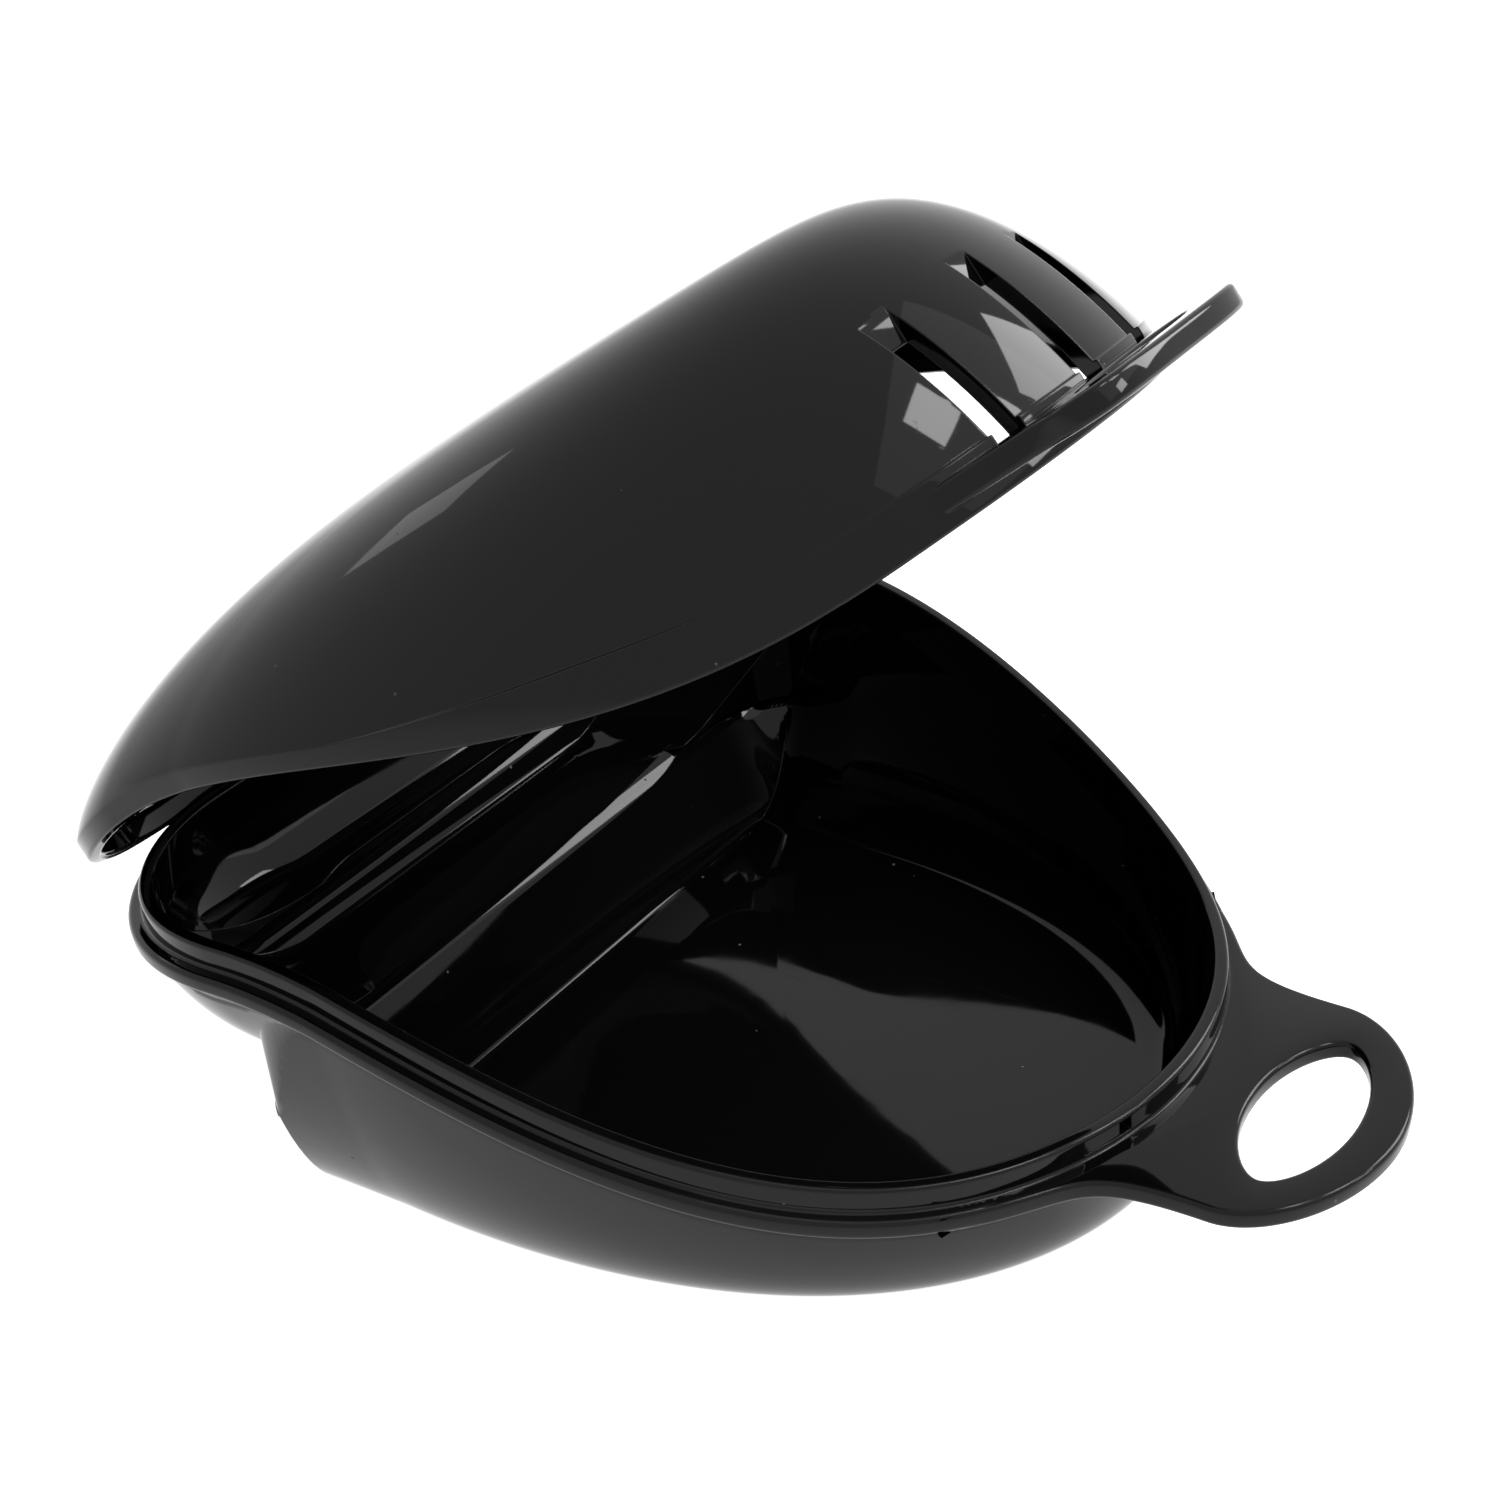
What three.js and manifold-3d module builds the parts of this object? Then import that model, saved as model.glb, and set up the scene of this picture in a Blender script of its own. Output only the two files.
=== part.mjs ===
import * as THREE from "three";
import { mergeVertices } from "three/addons/utils/BufferGeometryUtils.js";
import Module from "manifold-3d";

// A vented clamshell case for a mouth guard: a stepped tray, a domed lid and the pin that joins them.
// X runs across the case, the narrow nose with the ring tabs points to -Y, and Z is up.
// While a shell is shaped, y = 0 is the rear of the tray's lip and z = 0 the flat underside.

// Plan of the raised lip, the outline that everything else follows
const caseLength = 78;
const halfWidth = 37.1;
const rearFlare = 0.4;
const widestBack = 28;
const rearCorner = 18.2;
const noseSideReach = 27.1;
const noseTipReach = 21.65;

// Side profile of the rim: level at the nose, climbing to a crest and easing down at the rear
const noseHeight = 11;
const rimRise = 13.7;
const rimCrestBack = 20;
const rimFlatInset = 5;
const rimRearDrop = 1.5;

// Tray walls
const wall = 1.5;
const lipHeight = 1.9;
const lipThickness = 1.2;
const lipEdge = 0.35;
const flangeOverhang = 1.2;
const flangeThickness = 1.5;
const flangeEdge = 0.45;
const draftShare = 0.3;
const filletTallShare = 1.1;
const filletLimitShare = 0.5;
const shortestUpright = 0.5;

// Stepped floor: each level starts at its riser, further forward and deeper than the last
const floorThickness = 1.6;
const levels = [
  { floor: 15, riser: 0, inset: { side: 16, nose: 5, rear: 4 } },
  { floor: 12, riser: 6, inset: { side: 16, nose: 5, rear: 3 } },
  { floor: 1.6, riser: 17, inset: { side: 9.5, nose: 5, rear: 3 } },
];
const levelCorner = 11.5;
const riserLeanShare = 0.35;
const riserFootShare = 0.3;
const riserFootRunShare = 0.7;

// Ring tab on the tray's nose
const tabTip = 15.5;
const tabHalfWidth = 12.9;
const tabWidestOut = 6.6;
const tabTipReach = 6.6;
const tabSideReach = 4.35;
const tabNeckReach = 10.7;
const tabShoulderX = 22.6;
const tabShoulderInset = 8.75;
const tabShoulderIn = 6.9;
const tabShoulderOut = 7.65;
const holeHalfWidth = 8.4;
const holeNear = 4.7;
const holeFar = 12.3;
const holeFlatShare = 0.6;
const holeBulgeShare = 0.35;

// Ring tab on the lid's nose, shorter and with a narrower neck
const lidTabRise = 1;
const lidTabThickness = 1.8;
const lidTabTip = 9.2;
const lidTabHalfWidth = 11.4;
const lidTabWidestOut = 5.15;
const lidTabTipReach = 5.75;
const lidTabSideReach = 4.35;
const lidTabNeckReach = 2.5;
const lidTabShoulderX = 17;
const lidTabShoulderInset = 4;
const lidTabShoulderIn = 2.5;
const lidTabShoulderOut = 3;
const lidHoleHalfWidth = 7.2;
const lidHoleNear = 3.5;
const lidHoleFar = 7;

// Latch: a bump on each side inside the lid's band snaps into a window in the tray's lip
const latchX = 10.2;
const latchWidth = 4.4;
const windowHeight = 1.2;

// Hinge
const hingeBack = 1.3;
const hingeAboveRim = 0.9;
const knuckleRadius = 1.6;
const pinRadius = 0.6;
const lidKnuckleHalf = 6.5;
const trayKnuckleWidth = 6;
const lidOpening = 35.95;

// Lid
const lidGap = 0.4;
const lidOverhang = 0.8;
const lidRearInset = 0.5;
const lidWall = 1.2;
const bandHeight = 1.5;
const domeTop = 33.9;
const domeFocusInset = 16.6;
const domeSlopeShare = 0.07;
const domePlanShare = 0.63;
const domeRiseShare = 1.55;
const ventWidth = 2.4;
const ventPitch = 9;
const sideVentDepth = 3.5;
const sideVentSlant = 0.4;
const middleVentDepth = 2.1;
const ventBottom = 0.2;

// Working clearances, and how far a cutting tool runs past what it cuts
const clearance = 0.3;
const overrun = 4;

// How finely curves are divided
const curveSteps = 9;
const straightSteps = 3;
const roundSteps = 24;
const filletSteps = 5;
const domeSteps = 9;
const crownStepShare = 0.5;
const weldReach = 1e-4;

// Bezier handle that bends like a quarter circle, as a share of its radius
const circleBend = 0.5523;
const cornerKeptShare = 0.3;
const noInset = { side: 0, nose: 0, rear: 0 };

// Places worked out from the sizes above
const rearHalfWidth = halfWidth + rearFlare;
const rimFlatBack = caseLength - rimFlatInset;
const domeFocusBack = caseLength - domeFocusInset;
const bodyGrow = wall - lipThickness;
const hingeHeight = rimTop(0) + hingeAboveRim;
const trayKnuckleFrom = lidKnuckleHalf + clearance;
const trayKnuckleTo = trayKnuckleFrom + trayKnuckleWidth;
const trayKnuckles = [[-trayKnuckleTo, -trayKnuckleFrom], [trayKnuckleFrom, trayKnuckleTo]];
const windowBottom = noseHeight + (lipHeight - windowHeight) / 2;
const trayTab = {
  tip: tabTip,
  halfWidth: tabHalfWidth,
  widestOut: tabWidestOut,
  tipReach: tabTipReach,
  sideReach: tabSideReach,
  neckReach: tabNeckReach,
  shoulderX: tabShoulderX,
  shoulderInset: tabShoulderInset,
  shoulderIn: tabShoulderIn,
  shoulderOut: tabShoulderOut,
  holeHalf: holeHalfWidth,
  holeStart: holeNear,
  holeEnd: holeFar,
};
const lidTab = {
  tip: lidTabTip,
  halfWidth: lidTabHalfWidth,
  widestOut: lidTabWidestOut,
  tipReach: lidTabTipReach,
  sideReach: lidTabSideReach,
  neckReach: lidTabNeckReach,
  shoulderX: lidTabShoulderX,
  shoulderInset: lidTabShoulderInset,
  shoulderIn: lidTabShoulderIn,
  shoulderOut: lidTabShoulderOut,
  holeHalf: lidHoleHalfWidth,
  holeStart: lidHoleNear,
  holeEnd: lidHoleFar,
};

const wasm = await Module();
wasm.setup();

/** Turns a closed geometry into a solid that can be joined and cut. */
function solid(geometry) {
  const bare = geometry.index ? geometry.clone() : geometry;
  bare.deleteAttribute("normal");
  bare.deleteAttribute("uv");
  const merged = mergeVertices(bare, weldReach);
  return new wasm.Manifold(new wasm.Mesh({
    numProp: 3,
    vertProperties: new Float32Array(merged.attributes.position.array),
    triVerts: new Uint32Array(merged.index.array),
  }));
}

/** Turns a solid back into a geometry with flat-shaded normals. */
function geometryOf(shape) {
  const mesh = shape.getMesh();
  const geometry = new THREE.BufferGeometry();
  geometry.setAttribute("position", new THREE.BufferAttribute(new Float32Array(mesh.vertProperties), 3));
  geometry.setIndex(new THREE.BufferAttribute(new Uint32Array(mesh.triVerts), 1));
  geometry.computeVertexNormals();
  return geometry;
}

/** Smooth step from 0 to 1. */
function ease(t) {
  const u = THREE.MathUtils.clamp(t, 0, 1);
  return u * u * (3 - 2 * u);
}

/** Height of the flange's top face at a place along the case. */
function rimTop(y) {
  const climb = ease((rimFlatBack + y) / (rimFlatBack - rimCrestBack));
  const fall = ease((rimCrestBack + y) / rimCrestBack);
  return noseHeight + rimRise * climb - rimRearDrop * fall;
}

/** Plan outline of the lip moved outwards by grow, counted anticlockwise from the rear centre. */
function planOutline(grow, inset = noInset) {
  const side = halfWidth + grow - inset.side;
  const rearSide = rearHalfWidth + grow - inset.side;
  const back = grow - inset.rear;
  const nose = inset.nose - caseLength - grow;
  const corner = rearCorner + grow - inset.side * cornerKeptShare;
  const bend = circleBend * corner;
  const shrink = side / halfWidth;
  const path = new THREE.Path();
  path.moveTo(0, back);
  path.lineTo(corner - rearSide, back);
  path.bezierCurveTo(
    corner - rearSide - bend, back, -rearSide, back - corner + bend, -rearSide, back - corner,
  );
  path.lineTo(-side, -widestBack);
  path.bezierCurveTo(-side, -widestBack - noseSideReach, -noseTipReach * shrink, nose, 0, nose);
  const pieces = [straightSteps, curveSteps, straightSteps, curveSteps * 2];
  const half = path.curves.flatMap((curve, i) => curve.getPoints(pieces[i]).slice(0, -1));
  half.push(new THREE.Vector2(0, nose));
  const mirrored = half.slice(1, -1).reverse().map((p) => new THREE.Vector2(-p.x, p.y));
  return [...half, ...mirrored];
}

/** Ring of points over a plan outline, at the heights given by a function of y. */
function ring(outline, height) {
  return outline.map((p) => new THREE.Vector3(p.x, p.y, height(p.y)));
}

/** Closed solid through rings of equally many points, listed from the top down. */
function loft(rings) {
  const count = rings[0].length;
  const points = rings.flat();
  const faces = [];
  for (let r = 0; r + 1 < rings.length; r += 1) {
    for (let i = 0; i < count; i += 1) {
      const j = (i + 1) % count;
      const upper = r * count;
      const lower = upper + count;
      faces.push(upper + i, lower + i, lower + j);
      faces.push(upper + i, lower + j, upper + j);
    }
  }
  const centre = (loop) => loop.reduce((sum, p) => sum.add(p), new THREE.Vector3()).divideScalar(count);
  const topCentre = points.push(centre(rings[0])) - 1;
  const bottomCentre = points.push(centre(rings.at(-1))) - 1;
  const lastRing = (rings.length - 1) * count;
  for (let i = 0; i < count; i += 1) {
    const j = (i + 1) % count;
    faces.push(topCentre, i, j);
    faces.push(bottomCentre, lastRing + j, lastRing + i);
  }
  const geometry = new THREE.BufferGeometry().setFromPoints(points);
  geometry.setIndex(faces);
  return solid(geometry);
}

/** Upright plate from an outline drawn in plan. */
function plate(shape, bottom, thickness) {
  const options = { depth: thickness, bevelEnabled: false, curveSegments: curveSteps };
  return solid(new THREE.ExtrudeGeometry(shape, options).translate(0, 0, bottom));
}

/** Rod along X between two places on the hinge axis. */
function rod(radius, from, to) {
  const geometry = new THREE.CylinderGeometry(radius, radius, to - from, roundSteps);
  geometry.rotateZ(-Math.PI / 2);
  geometry.translate((from + to) / 2, hingeBack, hingeHeight);
  return solid(geometry);
}

/** Bowl under the rim: upright with a little draft near the top, then a fillet into a flat bottom. */
function bowl(grow, floor, top, inset) {
  const edge = planOutline(grow);
  const base = planOutline(grow, inset);
  const shoulder = (y) => rimTop(y) - flangeThickness - shortestUpright;
  const low = (y) => Math.min(floor, shoulder(y) - shortestUpright);
  const tall = (p, i) => Math.min(
    p.distanceTo(base[i]) * (1 - draftShare) * filletTallShare,
    (shoulder(p.y) - low(p.y)) * filletLimitShare,
  );
  const rings = [ring(edge, top), ring(edge, shoulder)];
  for (let k = 0; k <= filletSteps; k += 1) {
    const angle = (Math.PI / 2) * (k / filletSteps);
    const share = draftShare + (1 - draftShare) * (1 - Math.cos(angle));
    rings.push(edge.map((p, i) => {
      const at = p.clone().lerp(base[i], share);
      return new THREE.Vector3(at.x, at.y, low(p.y) + tall(p, i) * (1 - Math.sin(angle)));
    }));
  }
  return loft(rings);
}

/** Everything in front of one riser, which leans back from its sloped foot to its top. */
function inFrontOf(riser, grow, foot, head) {
  const tallest = noseHeight + rimRise + lipHeight + overrun * 2;
  const wide = halfWidth + grow;
  const corner = levelCorner + grow;
  const front = -caseLength - overrun;
  const footTop = foot + (head - foot) * riserFootShare;
  const lean = (head - footTop) * riserLeanShare;
  const run = lean + (footTop - foot) * riserFootRunShare;
  const section = (height, rear) => {
    const shape = new THREE.Shape();
    shape.moveTo(-wide, front);
    shape.lineTo(wide, front);
    shape.lineTo(wide, rear - corner);
    shape.quadraticCurveTo(wide, rear, wide - corner, rear);
    shape.lineTo(corner - wide, rear);
    shape.quadraticCurveTo(-wide, rear, -wide, rear - corner);
    return shape.getPoints(curveSteps).map((p) => new THREE.Vector3(p.x, p.y, height));
  };
  return loft([
    section(tallest, riser), section(head, riser), section(footTop, riser - lean),
    section(foot, riser - run), section(-overrun, riser - run),
  ]);
}

/** Form of the stepped space inside the tray, or grown and lowered, of the body around it. */
function steppedBowl(grow, riserShift, under, top) {
  return levels
    .map(({ floor, riser, inset }, i) => {
      const whole = bowl(grow, floor - under, top, inset);
      if (i === 0) return whole;
      const head = levels[i - 1].floor - under;
      return whole.intersect(inFrontOf(riserShift - riser, grow, floor - under, head));
    })
    .reduce((all, one) => all.add(one));
}

/** Plan of a ring tab, running back under the flange, with its oval hole. */
function tabShape(tab) {
  const end = -caseLength - tab.tip;
  const widest = -caseLength - tab.widestOut;
  const wide = tab.halfWidth;
  const neck = widest + tab.neckReach;
  const inX = tab.shoulderX - tab.shoulderIn;
  const foot = tab.shoulderInset - caseLength;
  const inY = foot - tab.shoulderOut;
  const shape = new THREE.Shape();
  shape.moveTo(0, end);
  shape.bezierCurveTo(tab.tipReach, end, wide, widest - tab.sideReach, wide, widest);
  shape.bezierCurveTo(wide, neck, inX, inY, tab.shoulderX, foot);
  shape.lineTo(-tab.shoulderX, foot);
  shape.bezierCurveTo(-inX, inY, -wide, neck, -wide, widest);
  shape.bezierCurveTo(-wide, widest - tab.sideReach, -tab.tipReach, end, 0, end);
  const near = -caseLength - tab.holeStart;
  const far = -caseLength - tab.holeEnd;
  const middle = (near + far) / 2;
  const bulge = ((near - far) / 2) * holeBulgeShare;
  const flat = tab.holeHalf * holeFlatShare;
  const holeHalf = tab.holeHalf;
  const hole = new THREE.Path();
  hole.moveTo(0, far);
  hole.bezierCurveTo(-flat, far, -holeHalf, middle - bulge, -holeHalf, middle);
  hole.bezierCurveTo(-holeHalf, middle + bulge, -flat, near, 0, near);
  hole.bezierCurveTo(flat, near, holeHalf, middle + bulge, holeHalf, middle);
  hole.bezierCurveTo(holeHalf, middle - bulge, flat, far, 0, far);
  shape.holes.push(hole);
  return shape;
}

/** Upright blocks at the two latch places, between two distances outwards from the lip's foot line. */
function latchBlocks(from, to, bottom, top, width) {
  const outline = planOutline(0).filter((p) => p.y < -widestBack);
  return [-1, 1].map((side) => {
    const past = (p) => p.x >= side * latchX;
    const i = outline.findIndex((p, k) => k > 0 && past(p) !== past(outline[k - 1]));
    const along = outline[i].clone().sub(outline[i - 1]);
    const share = (side * latchX - outline[i - 1].x) / along.x;
    const at = outline[i - 1].clone().lerp(outline[i], share);
    const box = new THREE.BoxGeometry(width, to - from, top - bottom);
    box.translate(0, -(from + to) / 2, (top + bottom) / 2);
    box.rotateZ(Math.atan2(along.y, along.x));
    return solid(box.translate(at.x, at.y, 0));
  });
}

/** Lower shell: bowl, flange, lip and tab joined, then hollowed and pierced. */
function trayShell() {
  const underFlange = (y) => rimTop(y) - flangeThickness / 2;
  const body = steppedBowl(bodyGrow, wall, floorThickness, underFlange);
  const flange = loft([
    ring(planOutline(flangeOverhang - flangeEdge), rimTop),
    ring(planOutline(flangeOverhang), (y) => rimTop(y) - flangeEdge),
    ring(planOutline(flangeOverhang), (y) => rimTop(y) - flangeThickness + flangeEdge),
    ring(planOutline(flangeOverhang - flangeEdge), (y) => rimTop(y) - flangeThickness),
  ]);
  const lip = loft([
    ring(planOutline(-lipEdge), (y) => rimTop(y) + lipHeight),
    ring(planOutline(0), (y) => rimTop(y) + lipHeight - lipEdge),
    ring(planOutline(0), underFlange),
  ]);
  const tab = plate(tabShape(trayTab), noseHeight - flangeThickness, flangeThickness);
  const space = steppedBowl(-lipThickness, 0, 0, (y) => rimTop(y) + lipHeight + overrun);
  let shell = body.add(flange).add(lip).add(tab);
  trayKnuckles.forEach(([from, to]) => {
    shell = shell.add(rod(knuckleRadius, from, to));
  });
  shell = shell.subtract(space);
  shell = shell.subtract(rod(knuckleRadius + clearance, -trayKnuckleFrom, trayKnuckleFrom));
  shell = shell.subtract(rod(pinRadius + clearance, -trayKnuckleTo - overrun, trayKnuckleTo + overrun));
  latchBlocks(-overrun, overrun, windowBottom, windowBottom + windowHeight, latchWidth).forEach((cut) => {
    shell = shell.subtract(cut);
  });
  return shell;
}

/** Dome over a closed rim line: each ring draws in towards the focus while it climbs to the top. */
function dome(outline, bottom, bandTop, top) {
  const focus = new THREE.Vector2(0, -domeFocusBack);
  const rings = [];
  for (let k = domeSteps; k >= 0; k -= 1) {
    const angle = (Math.PI / 2) * (k / (domeSteps + crownStepShare));
    const spread = Math.cos(angle) ** domePlanShare;
    const climb = Math.sin(angle) ** domeRiseShare;
    rings.push(outline.map((p) => {
      const at = focus.clone().lerp(p, spread);
      const crown = top + domeSlopeShare * (at.y + domeFocusBack);
      return new THREE.Vector3(at.x, at.y, bandTop(p.y) + (crown - bandTop(p.y)) * climb);
    }));
  }
  rings.push(ring(outline, bottom));
  return loft(rings);
}

/** Upper shell, shaped closed on the tray. */
function lidShell() {
  const outside = flangeOverhang + lidOverhang;
  const inside = outside - lidWall;
  const rear = { side: 0, nose: 0, rear: lidRearInset };
  const bottom = (y) => rimTop(y) + lidGap;
  const bandTop = (y) => bottom(y) + bandHeight;
  const outer = dome(planOutline(outside, rear), bottom, bandTop, domeTop);
  const inner = dome(planOutline(inside, rear), (y) => bottom(y) - overrun, bandTop, domeTop - lidWall);
  const tab = plate(tabShape(lidTab), noseHeight + lidGap + lidTabRise, lidTabThickness);
  let shell = outer;
  const ventLow = noseHeight + lidGap + bandHeight + ventBottom;
  for (let i = -1; i <= 1; i += 1) {
    const middle = i * ventPitch;
    const depth = i === 0 ? middleVentDepth : sideVentDepth;
    const outer = depth - caseLength + Math.abs(i) * sideVentSlant;
    const inner = depth - caseLength - Math.abs(i) * sideVentSlant;
    const front = -caseLength - outside - overrun;
    const vent = new THREE.Shape([
      new THREE.Vector2(middle - ventWidth / 2, front),
      new THREE.Vector2(middle + ventWidth / 2, front),
      new THREE.Vector2(middle + ventWidth / 2, i > 0 ? outer : inner),
      new THREE.Vector2(middle - ventWidth / 2, i < 0 ? outer : inner),
    ]);
    shell = shell.subtract(plate(vent, ventLow, domeTop + overrun - ventLow));
  }
  shell = shell.add(tab).subtract(inner);
  trayKnuckles.forEach(([from, to]) => {
    shell = shell.subtract(rod(knuckleRadius + clearance, from - clearance, to + clearance));
  });
  shell = shell.add(rod(knuckleRadius, -lidKnuckleHalf, lidKnuckleHalf));
  shell = shell.subtract(rod(pinRadius + clearance, -lidKnuckleHalf - overrun, lidKnuckleHalf + overrun));
  const bumpBottom = windowBottom + clearance;
  const bumpTop = windowBottom + windowHeight - clearance / 2;
  const bumpWidth = latchWidth - clearance * 2;
  latchBlocks(clearance, inside + lidWall / 2, bumpBottom, bumpTop, bumpWidth).forEach((bump) => {
    shell = shell.add(bump);
  });
  return shell;
}

const gloss = { roughness: 0.22, metalness: 0 };
const trayPlastic = new THREE.MeshStandardMaterial({ color: 0x111112, ...gloss });
const lidPlastic = new THREE.MeshStandardMaterial({ color: 0x131314, ...gloss });
const steel = new THREE.MeshStandardMaterial({ color: 0xb4b7ba, roughness: 0.35, metalness: 1 });

const tray = new THREE.Mesh(geometryOf(trayShell()), trayPlastic);
tray.name = "base_tray";

const pin = new THREE.Mesh(geometryOf(rod(pinRadius, -trayKnuckleTo, trayKnuckleTo)), steel);
pin.name = "hinge_pin";

const lid = new THREE.Mesh(geometryOf(lidShell()).translate(0, -hingeBack, -hingeHeight), lidPlastic);
lid.name = "lid";
const lidPivot = new THREE.Group();
lidPivot.position.set(0, hingeBack, hingeHeight);
lidPivot.rotation.x = -THREE.MathUtils.degToRad(lidOpening);
lidPivot.add(lid);

// The origin moves to the middle of the flat underside.
const deepest = levels.at(-1);
const deepestRise = levels.at(-2).floor - deepest.floor;
const deepestLean = deepestRise * (1 - riserFootShare) * riserLeanShare;
const deepestRun = deepestLean + deepestRise * riserFootShare * riserFootRunShare;
const undersideRear = wall - deepest.riser - deepestRun;
const undersideNose = deepest.inset.nose - caseLength - bodyGrow;
const mouthGuardCase = new THREE.Group();
mouthGuardCase.position.y = -(undersideRear + undersideNose) / 2;
mouthGuardCase.add(tray, pin, lidPivot);

export default mouthGuardCase;
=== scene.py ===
"""Mouth guard case: a vented clamshell moulded in gloss black ABS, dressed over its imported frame.

Shapes are worked out in millimetres in the moulder's frame: x across the case, the narrow nose
towards -y, y = 0 at the rear of the tray's lip and z = 0 at the flat underside. Placing a piece
turns millimetres into metres and moves the origin to the middle of the underside.
"""
from __future__ import annotations

import logging
import math
from dataclasses import dataclass
from enum import Enum
from typing import Callable, Sequence

import bpy
import numpy as np
from mathutils import Matrix, Vector

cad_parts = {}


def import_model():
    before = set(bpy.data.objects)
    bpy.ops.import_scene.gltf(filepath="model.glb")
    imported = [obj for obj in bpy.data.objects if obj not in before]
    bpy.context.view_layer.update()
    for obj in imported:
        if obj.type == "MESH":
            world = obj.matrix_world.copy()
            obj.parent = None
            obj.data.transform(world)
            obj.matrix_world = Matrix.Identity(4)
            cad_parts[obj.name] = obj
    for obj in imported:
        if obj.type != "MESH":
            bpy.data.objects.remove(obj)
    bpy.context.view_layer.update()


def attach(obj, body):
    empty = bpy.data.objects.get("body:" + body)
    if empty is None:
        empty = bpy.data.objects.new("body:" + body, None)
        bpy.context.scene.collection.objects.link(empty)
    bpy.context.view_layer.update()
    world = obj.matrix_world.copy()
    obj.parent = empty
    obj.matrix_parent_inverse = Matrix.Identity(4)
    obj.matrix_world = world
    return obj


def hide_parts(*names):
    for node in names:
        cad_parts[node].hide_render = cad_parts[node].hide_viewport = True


log = logging.getLogger("mouth_guard_case")

Array = np.ndarray
Height = Callable[[Array], Array]

MM = 0.001
SHARP_ANGLE = math.radians(34)
# Handle length of a cubic curve that follows a quarter circle, as a share of its radius.
CIRCLE_BEND = 0.5523
# The same for the squarer corners of the tray's lower levels.
LEVEL_BEND = 2 / 3
# How far cutting tools run past what they cut, in millimetres.
OVERRUN = 4.0
HOLE_OVERRUN = 1.0
STEP_OVERRUN = 6.0
STEP_TOP = 60.0
# Lift that keeps the riser's upright face clear of the start of its roll.
STEP_LIFT = 0.02
# How finely curves are drawn: points along the rear, the corner, the side and the nose of an
# outline, along the front, the corner and the rear of a level, and along the other curves.
RIM_PLACES = (12, 34, 14, 120)
LEVEL_PLACES = (8, 24, 8)
TAB_PLACES = 40
HOLE_PLACES = 30
BOWL_STEPS = 26
SWEEP_STEPS = 16
ROLL_STEPS = 11
DOME_STEPS = 84
ARC_STEPS = 7
TAB_STEPS = 6
ROD_PLACES = 96
PIN_PLACES = 48
# Power of an area lamp over its area and radiance, as the renderer has it.
WATTS_PER_RADIANCE = 4.0
# What the lamps face, in metres.
STUDIO_CENTRE = (0.0, 0.0, 0.03)


class Cut(Enum):
    """How one closed mesh changes another."""

    JOIN = "UNION"
    REMOVE = "DIFFERENCE"
    KEEP = "INTERSECT"


def quarter(count: int) -> Array:
    """Angles of a quarter turn, from 0 to 90 degrees."""
    return np.linspace(0.0, math.pi / 2, count)


def ease(t: Array) -> Array:
    """Smooth step: 3t^2 - 2t^3 between 0 and 1.

    Args:
        t: places along the step.

    Returns:
        Heights from 0 to 1.
    """
    u = np.clip(t, 0.0, 1.0)
    return u * u * (3.0 - 2.0 * u)


def bezier(points: Sequence[tuple[float, float]], count: int) -> Array:
    """Cubic curve: the four points weighted by (1-t)^3, 3t(1-t)^2, 3t^2(1-t) and t^3.

    Args:
        points: the two ends with their handles between them.
        count: how many points to give; the last end is left out.

    Returns:
        Array of shape (count, 2).
    """
    t = np.linspace(0.0, 1.0, count, endpoint=False)[:, None]
    a, b, c, d = (np.asarray(p, float) for p in points)
    return a * (1 - t) ** 3 + 3 * b * t * (1 - t) ** 2 + 3 * c * t * t * (1 - t) + d * t**3


def straight(start: tuple[float, float], end: tuple[float, float], count: int) -> Array:
    """Points evenly spaced from start, with the end left out."""
    t = np.linspace(0.0, 1.0, count, endpoint=False)[:, None]
    return np.asarray(start, float) * (1 - t) + np.asarray(end, float) * t


def offset(path: Array, distance: float) -> Array:
    """Moves a closed anticlockwise path outwards along its normals (tangent turned right).

    Args:
        path: points of shape (n, 2).
        distance: how far outwards, in millimetres.

    Returns:
        The moved points.
    """
    tangent = np.roll(path, -1, axis=0) - np.roll(path, 1, axis=0)
    tangent /= np.linalg.norm(tangent, axis=1, keepdims=True)
    return path + distance * np.stack([tangent[:, 1], -tangent[:, 0]], axis=1)


def level(path: Array, height: float | Array) -> Array:
    """Lifts a plan path to a height."""
    return np.column_stack([path, np.broadcast_to(height, len(path))])


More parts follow.
